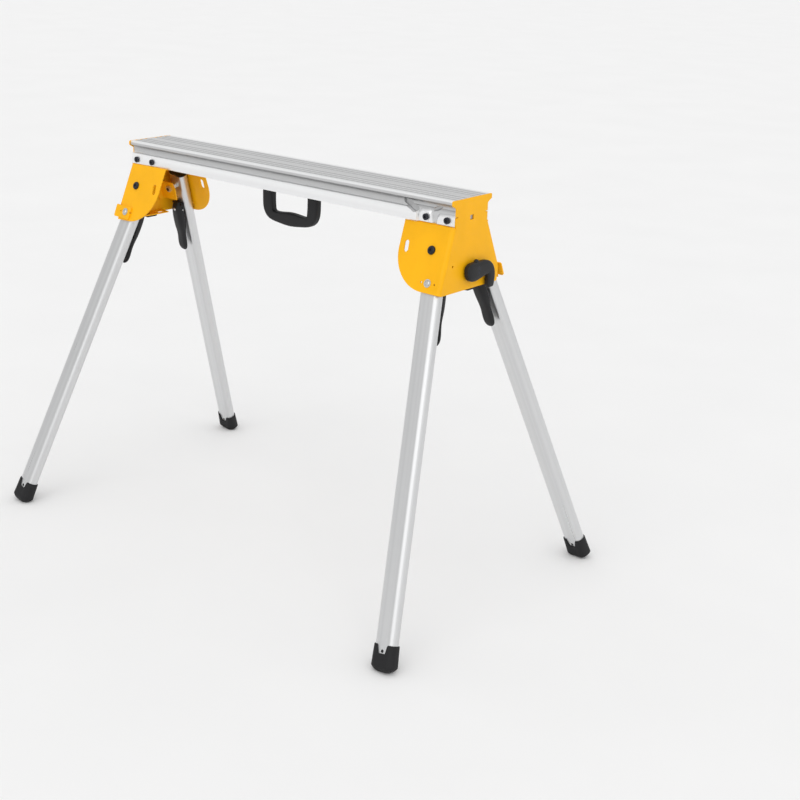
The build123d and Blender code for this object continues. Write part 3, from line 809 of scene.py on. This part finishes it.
def beam_side():
    """One half of the beam's section in (y, depth below the top), from the first groove to the underside.

    The nose is a quarter circle, a short face and a small lower round; the cove under it is a quarter
    ellipse; the band stands proud below the cove with two small rounds.
    """
    grooves = []
    for y in (0.015, 0.029, 0.043):
        grooves += [(y - 0.0034, 0), (y - 0.0026, 0.0010), (y + 0.0026, 0.0010), (y + 0.0034, 0)]
    nose = arc((0.0550, 0.0040), 0.0040, -90, 0, 10)
    lip = arc((0.0570, 0.0068), 0.0020, 0, 60, 6)
    cove = arc((0.0580, 0.0195), (0.0095, 0.0105), -98, -180, 12)
    hollow = arc((0.0505, 0.0240), 0.0020, 180, 90, 6)
    shoulder = arc((0.0532, 0.0278), 0.0018, -90, 0, 7)
    heel = arc((0.0538, 0.0488), 0.0012, 0, 90, 7)
    channel = [(0.044, 0.050), (0.044, 0.014), (0.047, 0.010), (0.050, 0.008), (0.050, 0.004)]
    core = [(0.0225, 0.004), (0.0225, 0.050)]
    return np.concatenate([grooves, nose, lip, cove, hollow, shoulder, heel, channel, core])


def beam_section():
    """Whole section: one half and its mirror image, in one ring."""
    half = beam_side()
    return np.concatenate([half, half[::-1] * np.array([-1.0, 1.0])])


def beam_pocket():
    """Closed shells that mill the front right corner: a sloping pocket, a slanting slot and a leaf scoop.

    The pocket's inboard edge is a steep power curve; its walls slope because it widens towards the outside.
    """
    rings = []
    for y, top, out in ((-0.0700, -0.0002, 0.0095), (-0.0465, 0.0215, -0.0055)):
        sweep = np.linspace(0, 1, 18)
        run = 0.0890 + out + 0.0240 * (1 - sweep) ** 4.5
        drop = top + (0.0520 - top) * sweep
        curve = np.column_stack([CORNER_X - run, np.full(18, y), BEAM_TOP - drop])
        end = np.array([(CORNER_X + 0.01, y, BEAM_TOP - 0.0520), (CORNER_X + 0.01, y, BEAM_TOP - top)])
        rings.append(np.concatenate([curve, end]))
    slot = stadium((CORNER_X - 0.1055, 0.0225), 0.038, 0.0125, math.radians(29))
    leaf = ellipsoid((0, 0, 0), (0.0165, 0.0030, 0.0042))
    lean = np.array(Matrix.Rotation(math.radians(-26), 3, "Y"))
    leaf_points = leaf[0] @ lean.T + np.array([CORNER_X - 0.0430, -0.0474, BEAM_TOP - 0.0205])
    through = np.stack([upright_ring(slot, -0.062), upright_ring(slot, -0.0452)])
    return [capped_loft(np.stack(rings)), capped_loft(through), (leaf_points, leaf[1])]


def bolt_pads():
    """Raised pads under the two front right bolts: the foot of each is its outline spread by its slope."""
    inboard = (
        (-0.0870, 0.0495), (-0.0835, 0.0325), (-0.0790, 0.0300), (-0.0645, 0.0300), (-0.0600, 0.0330),
        (-0.0560, 0.0495),
    )
    outboard = (
        (-0.0440, 0.0495), (-0.0420, 0.0380), (-0.0380, 0.0340), (-0.0120, 0.0325), (-0.0026, 0.0325),
        (-0.0026, 0.0495),
    )
    shells = []
    for outline in (inboard, outboard):
        top = np.array(outline)
        middle = np.array([top[:, 0].mean(), 0.0500])
        foot = middle + (top - middle) * np.array([1.20, 1.35])
        foot[:, 0] = np.minimum(foot[:, 0], -0.0026)
        foot[:, 1] = np.minimum(foot[:, 1], 0.0499)
        rings = []
        for y, ring in ((-0.0455, foot), (-0.0496, top), (-0.0500, middle + (top - middle) * 0.975)):
            rings.append(upright_ring(ring + np.array([CORNER_X, 0.0]), y))
        shells.append(capped_loft(np.stack(rings)))
    return shells


def upright_ring(outline, y):
    """Outline in x and depth below the beam's top, stood upright at y."""
    return np.column_stack([outline[:, 0], np.full(len(outline), y), BEAM_TOP - outline[:, 1]])


def ellipsoid(center, radii, rows=18, around=32):
    """Closed ellipsoid: latitude and longitude, each axis scaled, the poles as small caps."""
    latitude = np.linspace(-np.pi / 2 + 0.02, np.pi / 2 - 0.02, rows)[:, None]
    longitude = np.linspace(0, 2 * np.pi, around, endpoint=False)[None, :]
    unit_sphere = np.stack([
        np.cos(latitude) * np.cos(longitude), np.cos(latitude) * np.sin(longitude),
        np.repeat(np.sin(latitude), around, axis=1),
    ], axis=-1)
    return capped_loft(unit_sphere * np.asarray(radii) + np.asarray(center))


class SAWHORSE_OT_beam(bpy.types.Operator):
    """Extrude the grooved beam, mill its two end pockets and dimples, and add its bolt pads"""

    bl_idname = "sawhorse.beam"
    bl_label = "Beam"

    def execute(self, context):
        low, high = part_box("beam")
        section = beam_section()
        rings = []
        for x in (low.x, high.x):
            rings.append(np.column_stack([np.full(len(section), x), section[:, 0], high.z - section[:, 1]]))
        made = new_object("beam_extrusion", *capped_loft(np.stack(rings)))
        face_outwards(made)
        pocket = beam_pocket()
        cutters = pocket + [(half_turned(points), faces) for points, faces in pocket]
        for x, y in DIMPLES:
            for sign in (-1, 1):
                cutters.append(ellipsoid((sign * x, sign * y, high.z), (0.0024, 0.0024, 0.0012), 8, 20))
        cut(made, *cutters)
        pads = bolt_pads()
        merge_shells(made, *pads, *[(half_turned(points), faces) for points, faces in pads])
        face_outwards(made)
        color = context.scene.sawhorse_finishes.beam
        # The beam's finish carries painted shade on its top, grooves, pockets and cove.
        metal = extruded("beam_metal", color, (0, 0, 0), 80.0, source=OWN, painted_shade=beam_painted_shade)
        complete(made, "frame", metal, (0, 0, 0), UNTURNED, ["beam"], sharp=24.0)
        return {"FINISHED"}


# ---------------------------------------------------------------- release levers
RIVET_PLACE = (0.0, -0.059, -0.0296)      # in the leg's own frame
RIVET_RADIUS, RIVET_HEIGHT = 0.0034, 0.0017


def lever_shell():
    """Moulded lever in the leg's own frame, an open channel towards the leg.

    Each row is one place along the leg, in millimetres. Its ring runs round the outside as half a squarish
    power curve from the back edge to the face, and back along the channel inside; the lists give the half
    width, face, back edge and channel depth at each place.
    """
    along = np.array([-41.5, -42.2, -44, -47, -51, -56, -64, -74, -86, -98, -107, -114, -121, -128,
                        -135, -143, -150, -157, -163, -168, -171.5, -173.4, -174.0])
    width = np.array([3.0, 6.0, 8.2, 9.8, 11.2, 12.4, 14.0, 15.0, 15.0, 14.8, 14.2, 13.4, 12.7, 12.3,
                      12.3, 12.7, 13.2, 13.2, 12.4, 10.6, 7.9, 4.9, 2.4])
    face = np.array([-20.5, -22.0, -23.8, -26.0, -28.2, -29.6, -30.8, -31.6, -32.0, -32.0, -31.6, -31.0,
                     -30.3, -29.8, -29.8, -30.2, -30.9, -31.4, -31.4, -30.8, -29.4, -28.0, -27.0])
    back = np.array([-17.5, -17.0, -16.4, -15.8, -14.8, -14.0, -13.4, -13.3, -14.4, -16.0, -17.4, -18.6,
                     -19.6, -20.4, -21.0, -21.6, -22.2, -22.8, -23.4, -23.9, -24.5, -25.0, -25.4])
    hollow = np.array([0.2, 0.6, 2.0, 5.0, 8.0, 10, 12, 13, 12.5, 11, 9.5, 8.0, 6.8, 5.8, 5.2, 4.8, 4.4, 3.6,
                       2.4, 1.2, 0.6, 0.3, 0.1])
    outside, inside = 25, 19
    outer_x, outer_z = power_curve(np.linspace(0, np.pi, outside), 0.62)
    inner_x, inner_z = power_curve(np.linspace(np.pi, 0, inside), 0.5)
    wall = np.clip(width * 0.22, 0.5, 3.2)
    outer = np.stack([
        width[:, None] * outer_x, np.repeat(along[:, None], outside, axis=1),
        back[:, None] + (face - back)[:, None] * outer_z,
    ], axis=-1)
    inner = np.stack([
        (width - wall)[:, None] * inner_x, np.repeat(along[:, None], inside, axis=1),
        back[:, None] - hollow[:, None] * inner_z,
    ], axis=-1)
    return capped_loft(np.concatenate([outer, inner], axis=1) * MM)


def rivet_head():
    """Closed dome on the lever's face: circles that shrink as the cosine while they stand out as the sine."""
    angle = np.linspace(0, np.pi / 2 * 0.97, 7)[:, None]
    around = np.linspace(0, 2 * np.pi, 24, endpoint=False)[None, :]
    flat = RIVET_RADIUS * np.cos(angle)
    out = np.repeat(-RIVET_HEIGHT * np.sin(angle), 24, axis=1)
    ring = np.stack([flat * np.cos(around), flat * np.sin(around), out], axis=-1)
    return capped_loft(ring + np.array(RIVET_PLACE))


class SAWHORSE_OT_levers(bpy.types.Operator):
    """Mould the four release levers and their rivet heads"""

    bl_idname = "sawhorse.levers"
    bl_label = "Release Levers"

    def execute(self, context):
        finishes = context.scene.sawhorse_finishes
        plastic = moulded("lever_plastic", finishes.plastic, source=OWN)
        steel = plated("rivet_steel", finishes.steel, OWN)
        for leg in LEGS:
            origin, axes = leg_axes(leg)
            body = "lever_body_" + leg
            shell, head = placed([lever_shell(), rivet_head()], origin, axes)
            lever = new_object("lever_moulding_" + leg, *shell)
            face_outwards(lever)
            subdivide(lever)
            complete(lever, body, plastic, origin, axes, ["lever_" + leg], 60.0)
            rivet = new_object("lever_rivet_" + leg, *head)
            face_outwards(rivet)
            complete(rivet, body, steel, origin, axes)
        return {"FINISHED"}


# ---------------------------------------------------------------- feet
TUBE_WIDTH, TUBE_DEPTH, TUBE_CORNER = 0.045, 0.024, 0.010
FOOT_HEIGHT, NOTCH_DEPTH = 0.0500, 0.0165


def foot_shell(origin, axes, sizes):
    """Rubber foot in the leg's own frame, on the floor: a flared cap with a notch on each broad side.

    The wall is the tube's rounded rectangle grown outwards, more towards the floor. The sole is the same ring
    shrunk towards its middle while it drops by a power of the size, held to the floor's plane where it would
    pass under it. The rim drops by a smooth step of the distance from the middle of each broad side, and the
    lining goes back down inside against the tube.
    """
    length = origin[2] / axes[1][2]
    rim, rise = -length + FOOT_HEIGHT, 0.0105

    def ring(grow):
        width, depth = TUBE_WIDTH + 2 * grow, TUBE_DEPTH + 2 * grow
        return rounded_rectangle(width, depth, TUBE_CORNER + grow, 13, 17)

    def floor_y(section):
        return -(origin[2] + section[:, 0] * axes[0][2] + section[:, 1] * axes[2][2]) / axes[1][2]

    def sole_y(section):
        return -length + 0.2 * (floor_y(section) + length)

    def row(section, y):
        return np.column_stack([section[:, 0], y, section[:, 1]])

    base = ring(0.0)
    broad = np.abs(np.abs(base[:, 1]) - TUBE_DEPTH / 2) < 1e-6
    notch = NOTCH_DEPTH * smooth_step((0.0125 - np.abs(base[:, 0])) / 0.0052 * broad)
    rows = []
    for part in np.linspace(0.08, 1.0, 13):
        section = ring(sizes.foot_flare) * part
        rows.append(row(section, np.maximum(sole_y(section) + rise * part**3.4, floor_y(section))))
    widest = ring(sizes.foot_flare)
    low = np.maximum(sole_y(widest) + rise, floor_y(widest))
    for share in np.linspace(0.12, 0.93, 8):
        grow = sizes.foot_flare + (sizes.foot_wall - sizes.foot_flare) * share
        rows.append(row(ring(grow), low + (rim - notch - low) * share))
    rows.append(row(ring(sizes.foot_wall), rim - notch - 0.0008))
    rows.append(row(ring(sizes.foot_wall - 0.0008), rim - notch))
    rows.append(row(ring(0.0006), rim - notch))
    rows.append(row(ring(0.0001), rim - notch - 0.0006))
    rows.append(row(ring(0.0001), np.full(len(base), rim - 0.0330)))
    return capped_loft(np.stack(rows))


class SAWHORSE_OT_feet(bpy.types.Operator):
    """Mould the four rubber feet"""

    bl_idname = "sawhorse.feet"
    bl_label = "Feet"

    def execute(self, context):
        sizes = context.scene.sawhorse_sizes
        rubber = moulded("foot_rubber", context.scene.sawhorse_finishes.rubber, 900.0, 0.6, OWN)
        for leg in LEGS:
            origin, axes = leg_axes(leg)
            [shell] = placed([foot_shell(origin, axes, sizes)], origin, axes)
            made = new_object("foot_moulding_" + leg, *shell)
            face_outwards(made)
            complete(made, "leg_" + leg, rubber, origin, axes, ["foot_" + leg], 50.0)
        return {"FINISHED"}


# ---------------------------------------------------------------- hooks
HOOK_CENTER = 8.4         # millimetres from the end plate's face to the middle of the hook's depth


def hook_shell():
    """Moulded hook in the end plate's frame.

    A centre line through chosen points, in millimetres; at each, a squarish power curve stands across the
    line. The lists give its half height in the plane and its half depth out of it.
    """
    line = np.array([
        (-27.4, -90), (-26.5, -90), (-24.2, -89.8), (-20, -89.4), (-13, -89.0), (-4, -89.0), (5, -88.6),
        (14, -87.6), (23, -86.2), (31.5, -85.8), (39.5, -87.6), (45.0, -92), (47.6, -99), (47.9, -107),
        (46.6, -114.5), (45.6, -120), (45.2, -124.0), (45.2, -126.0), (45.2, -126.8),
    ])
    half = np.array([4, 8, 12.4, 16.0, 18.2, 18.4, 17.4, 16.2, 15.4, 14.6, 13.4, 12.2, 11.4, 10.8, 10.0, 9.8,
                     9.2, 7.6, 5.4])
    depth = np.array([3, 5, 6.6, 7.4, 7.8, 7.8, 7.4, 7.2, 7.2, 7.2, 7.0, 6.8, 6.6, 6.4, 6.2, 6.0,
                      5.8, 5.0, 3.6])
    normal = left_of(directions(line))
    across, out = power_curve(np.linspace(0, 2 * np.pi, 32, endpoint=False), 0.55)
    plane = line[:, None, :] + normal[:, None, :] * (half[:, None] * across)[..., None]
    rings = np.concatenate([plane, (HOOK_CENTER + depth[:, None] * out)[..., None]], axis=-1)
    return capped_loft(rings * MM)


class SAWHORSE_OT_hooks(bpy.types.Operator):
    """Mould the two hooks on the end plates"""

    bl_idname = "sawhorse.hooks"
    bl_label = "Hooks"

    def execute(self, context):
        plastic = moulded("hook_plastic", context.scene.sawhorse_finishes.plastic, source=OWN)
        origin, axes = end_axes()
        nub = ellipsoid((0.0035, -0.0705, 0.0085), (0.0060, 0.0042, 0.0045))
        shells = placed([hook_shell(), nub], origin, axes)
        for name, turned in (("right", False), ("left", True)):
            made = new_object("hook_moulding_" + name, *joined(*shells))
            if turned:
                turn_mesh(made)
            face_outwards(made)
            subdivide(made)
            body, replaced = "hook_body_" + name, ["hook_" + name]
            complete(made, body, plastic, (0, 0, 0), UNTURNED, replaced, 60.0)
        return {"FINISHED"}


# ---------------------------------------------------------------- carrying handle
ARM_HALF, GRIP_HALF = 0.0135, 0.0104


def handle_shell(sizes):
    """Carrying handle: a squarish ring swept along half a power curve, which makes a U with round corners.

    The half width across the line eases from the arms to the grip, where it swells as a raised cosine.
    """
    low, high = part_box("handle")
    center, span = (low.x + high.x) / 2, (high.x - low.x) / 2 + 0.0015
    x, z = power_curve(np.linspace(0, np.pi, 400), 0.32)
    line = np.column_stack([center + (span - ARM_HALF) * x, high.z - (high.z - low.z - GRIP_HALF) * z])
    length = np.concatenate([[0], np.cumsum(np.linalg.norm(np.diff(line, axis=0), axis=1))])
    even = np.linspace(0, length[-1], 72)
    line = np.column_stack([np.interp(even, length, line[:, 0]), np.interp(even, length, line[:, 1])])
    share = even / length[-1]
    swell = np.where(np.abs(share - 0.5) < 0.2, (1 + np.cos((share - 0.5) / 0.2 * np.pi)) / 2, 0.0)
    ease = smooth_step((np.abs(share - 0.5) - 0.20) / 0.12)
    half = GRIP_HALF + (ARM_HALF - GRIP_HALF) * ease + sizes.grip_swell * swell
    thick = 0.0088 + 0.0006 * swell
    half[[0, -1]] = ARM_HALF
    direction = directions(line)
    direction[[0, -1]] = [[0, -1], [0, 1]]
    normal = left_of(direction)
    across, out = power_curve(np.linspace(0, 2 * np.pi, 40, endpoint=False), 0.42)
    plane = line[:, None, :] + normal[:, None, :] * (half[:, None] * across)[..., None]
    return capped_loft(np.stack([plane[..., 0], thick[:, None] * out, plane[..., 1]], axis=-1))


class SAWHORSE_OT_handle(bpy.types.Operator):
    """Mould the carrying handle"""

    bl_idname = "sawhorse.handle"
    bl_label = "Handle"

    def execute(self, context):
        made = new_object("carrying_handle", *handle_shell(context.scene.sawhorse_sizes))
        face_outwards(made)
        plastic = moulded("handle_plastic", context.scene.sawhorse_finishes.plastic, 1100.0, 0.5, OWN)
        complete(made, "frame", plastic, (0, 0, 0), UNTURNED, ["handle"], 60.0)
        return {"FINISHED"}


# ---------------------------------------------------------------- stage and add-on
class SAWHORSE_OT_stage(bpy.types.Operator):
    """Make the pale floor, the soft studio light and the camera"""

    bl_idname = "sawhorse.stage"
    bl_label = "Stage"

    def execute(self, context):
        settings = context.scene.sawhorse_stage
        half = settings.floor_size / 2
        mesh = bpy.data.meshes.new("floor")
        corners = [(-half, -half, 0), (half, -half, 0), (half, half, 0), (-half, half, 0)]
        mesh.from_pydata(corners, [], [(0, 1, 2, 3)])
        floor = bpy.data.objects.new("floor", mesh)
        context.scene.collection.objects.link(floor)
        ground = Finish("pale_floor", (0.90, 0.90, 0.90), 0.9)
        cloud = ground.noise(ground.place, 2.5, 3.0)
        ground.tint(cloud, (0.86, 0.86, 0.86), (0.90, 0.90, 0.90))
        mesh.materials.append(ground.material)

        world = bpy.data.worlds.new("studio")
        context.scene.world = world
        world.use_nodes = True
        tree = world.node_tree
        direction = tree.nodes.new("ShaderNodeTexCoord")
        split = tree.nodes.new("ShaderNodeSeparateXYZ")
        ramp = tree.nodes.new("ShaderNodeValToRGB")
        tree.links.new(direction.outputs["Generated"], split.inputs["Vector"])
        tree.links.new(split.outputs["Z"], ramp.inputs["Fac"])
        tree.links.new(ramp.outputs["Color"], tree.nodes["Background"].inputs["Color"])
        tree.nodes["Background"].inputs["Strength"].default_value = settings.light
        bands = ((0.0, 0.60), (0.12, 0.66), (0.30, 0.66), (0.45, 0.82), (0.70, 0.88), (1.0, 0.88))
        set_greys(ramp.color_ramp, bands)
        suns = (
            ("key_light", (0.35, -0.80, 0.62), 75.0, 0.8),
            ("fill_light", (0.90, 0.10, 0.45), 80.0, 0.3),
        )
        for name, towards, spread, strength in suns:
            lamp = bpy.data.lights.new(name, "SUN")
            lamp.angle = math.radians(spread)
            lamp.energy = strength
            made = bpy.data.objects.new(name, lamp)
            made.rotation_euler = Vector(towards).to_track_quat("Z", "Y").to_euler()
            context.scene.collection.objects.link(made)

        camera = bpy.data.objects.new("camera", bpy.data.cameras.new("camera"))
        camera.data.lens = settings.lens
        camera.data.sensor_width = 36.0
        camera.data.shift_x = 0.0524
        camera.data.shift_y = -0.0091
        camera.data.clip_end = 60.0
        turn = Matrix.Rotation(settings.azimuth, 3, "Z")
        turn = turn @ Matrix.Rotation(math.pi / 2 - settings.elevation, 3, "X")
        turn = turn @ Matrix.Rotation(settings.roll, 3, "Z")
        camera.matrix_world = Matrix.Translation(settings.position) @ turn.to_4x4()
        context.scene.collection.objects.link(camera)
        context.scene.camera = camera
        context.scene.view_settings.view_transform = "Standard"
        return {"FINISHED"}


OPERATORS = (
    SAWHORSE_OT_finishes, SAWHORSE_OT_beam, SAWHORSE_OT_brackets, SAWHORSE_OT_levers, SAWHORSE_OT_feet,
    SAWHORSE_OT_hooks, SAWHORSE_OT_handle, SAWHORSE_OT_stage,
)


class SAWHORSE_PT_panel(bpy.types.Panel):
    """Lists the sawhorse's operators and settings"""

    bl_idname = "SAWHORSE_PT_panel"
    bl_label = "Folding Sawhorse"
    bl_space_type = "VIEW_3D"
    bl_region_type = "UI"
    bl_category = "Sawhorse"

    def draw(self, context):
        layout = self.layout
        for operator in OPERATORS:
            layout.operator(operator.bl_idname)
        scene = context.scene
        for group in (scene.sawhorse_finishes, scene.sawhorse_sizes, scene.sawhorse_stage):
            box = layout.box()
            for name in group.__annotations__:
                box.prop(group, name)


CLASSES = (SawhorseFinishes, SawhorseSizes, SawhorseStage, *OPERATORS, SAWHORSE_PT_panel)


def register():
    for item in CLASSES:
        bpy.utils.register_class(item)
    bpy.types.Scene.sawhorse_finishes = PointerProperty(type=SawhorseFinishes)
    bpy.types.Scene.sawhorse_sizes = PointerProperty(type=SawhorseSizes)
    bpy.types.Scene.sawhorse_stage = PointerProperty(type=SawhorseStage)


def unregister():
    del bpy.types.Scene.sawhorse_stage
    del bpy.types.Scene.sawhorse_sizes
    del bpy.types.Scene.sawhorse_finishes
    for item in reversed(CLASSES):
        bpy.utils.unregister_class(item)


def main():
    register()
    for operator in OPERATORS:
        getattr(bpy.ops.sawhorse, operator.bl_idname.split(".")[1])()


if __name__ == "__main__":
    main()
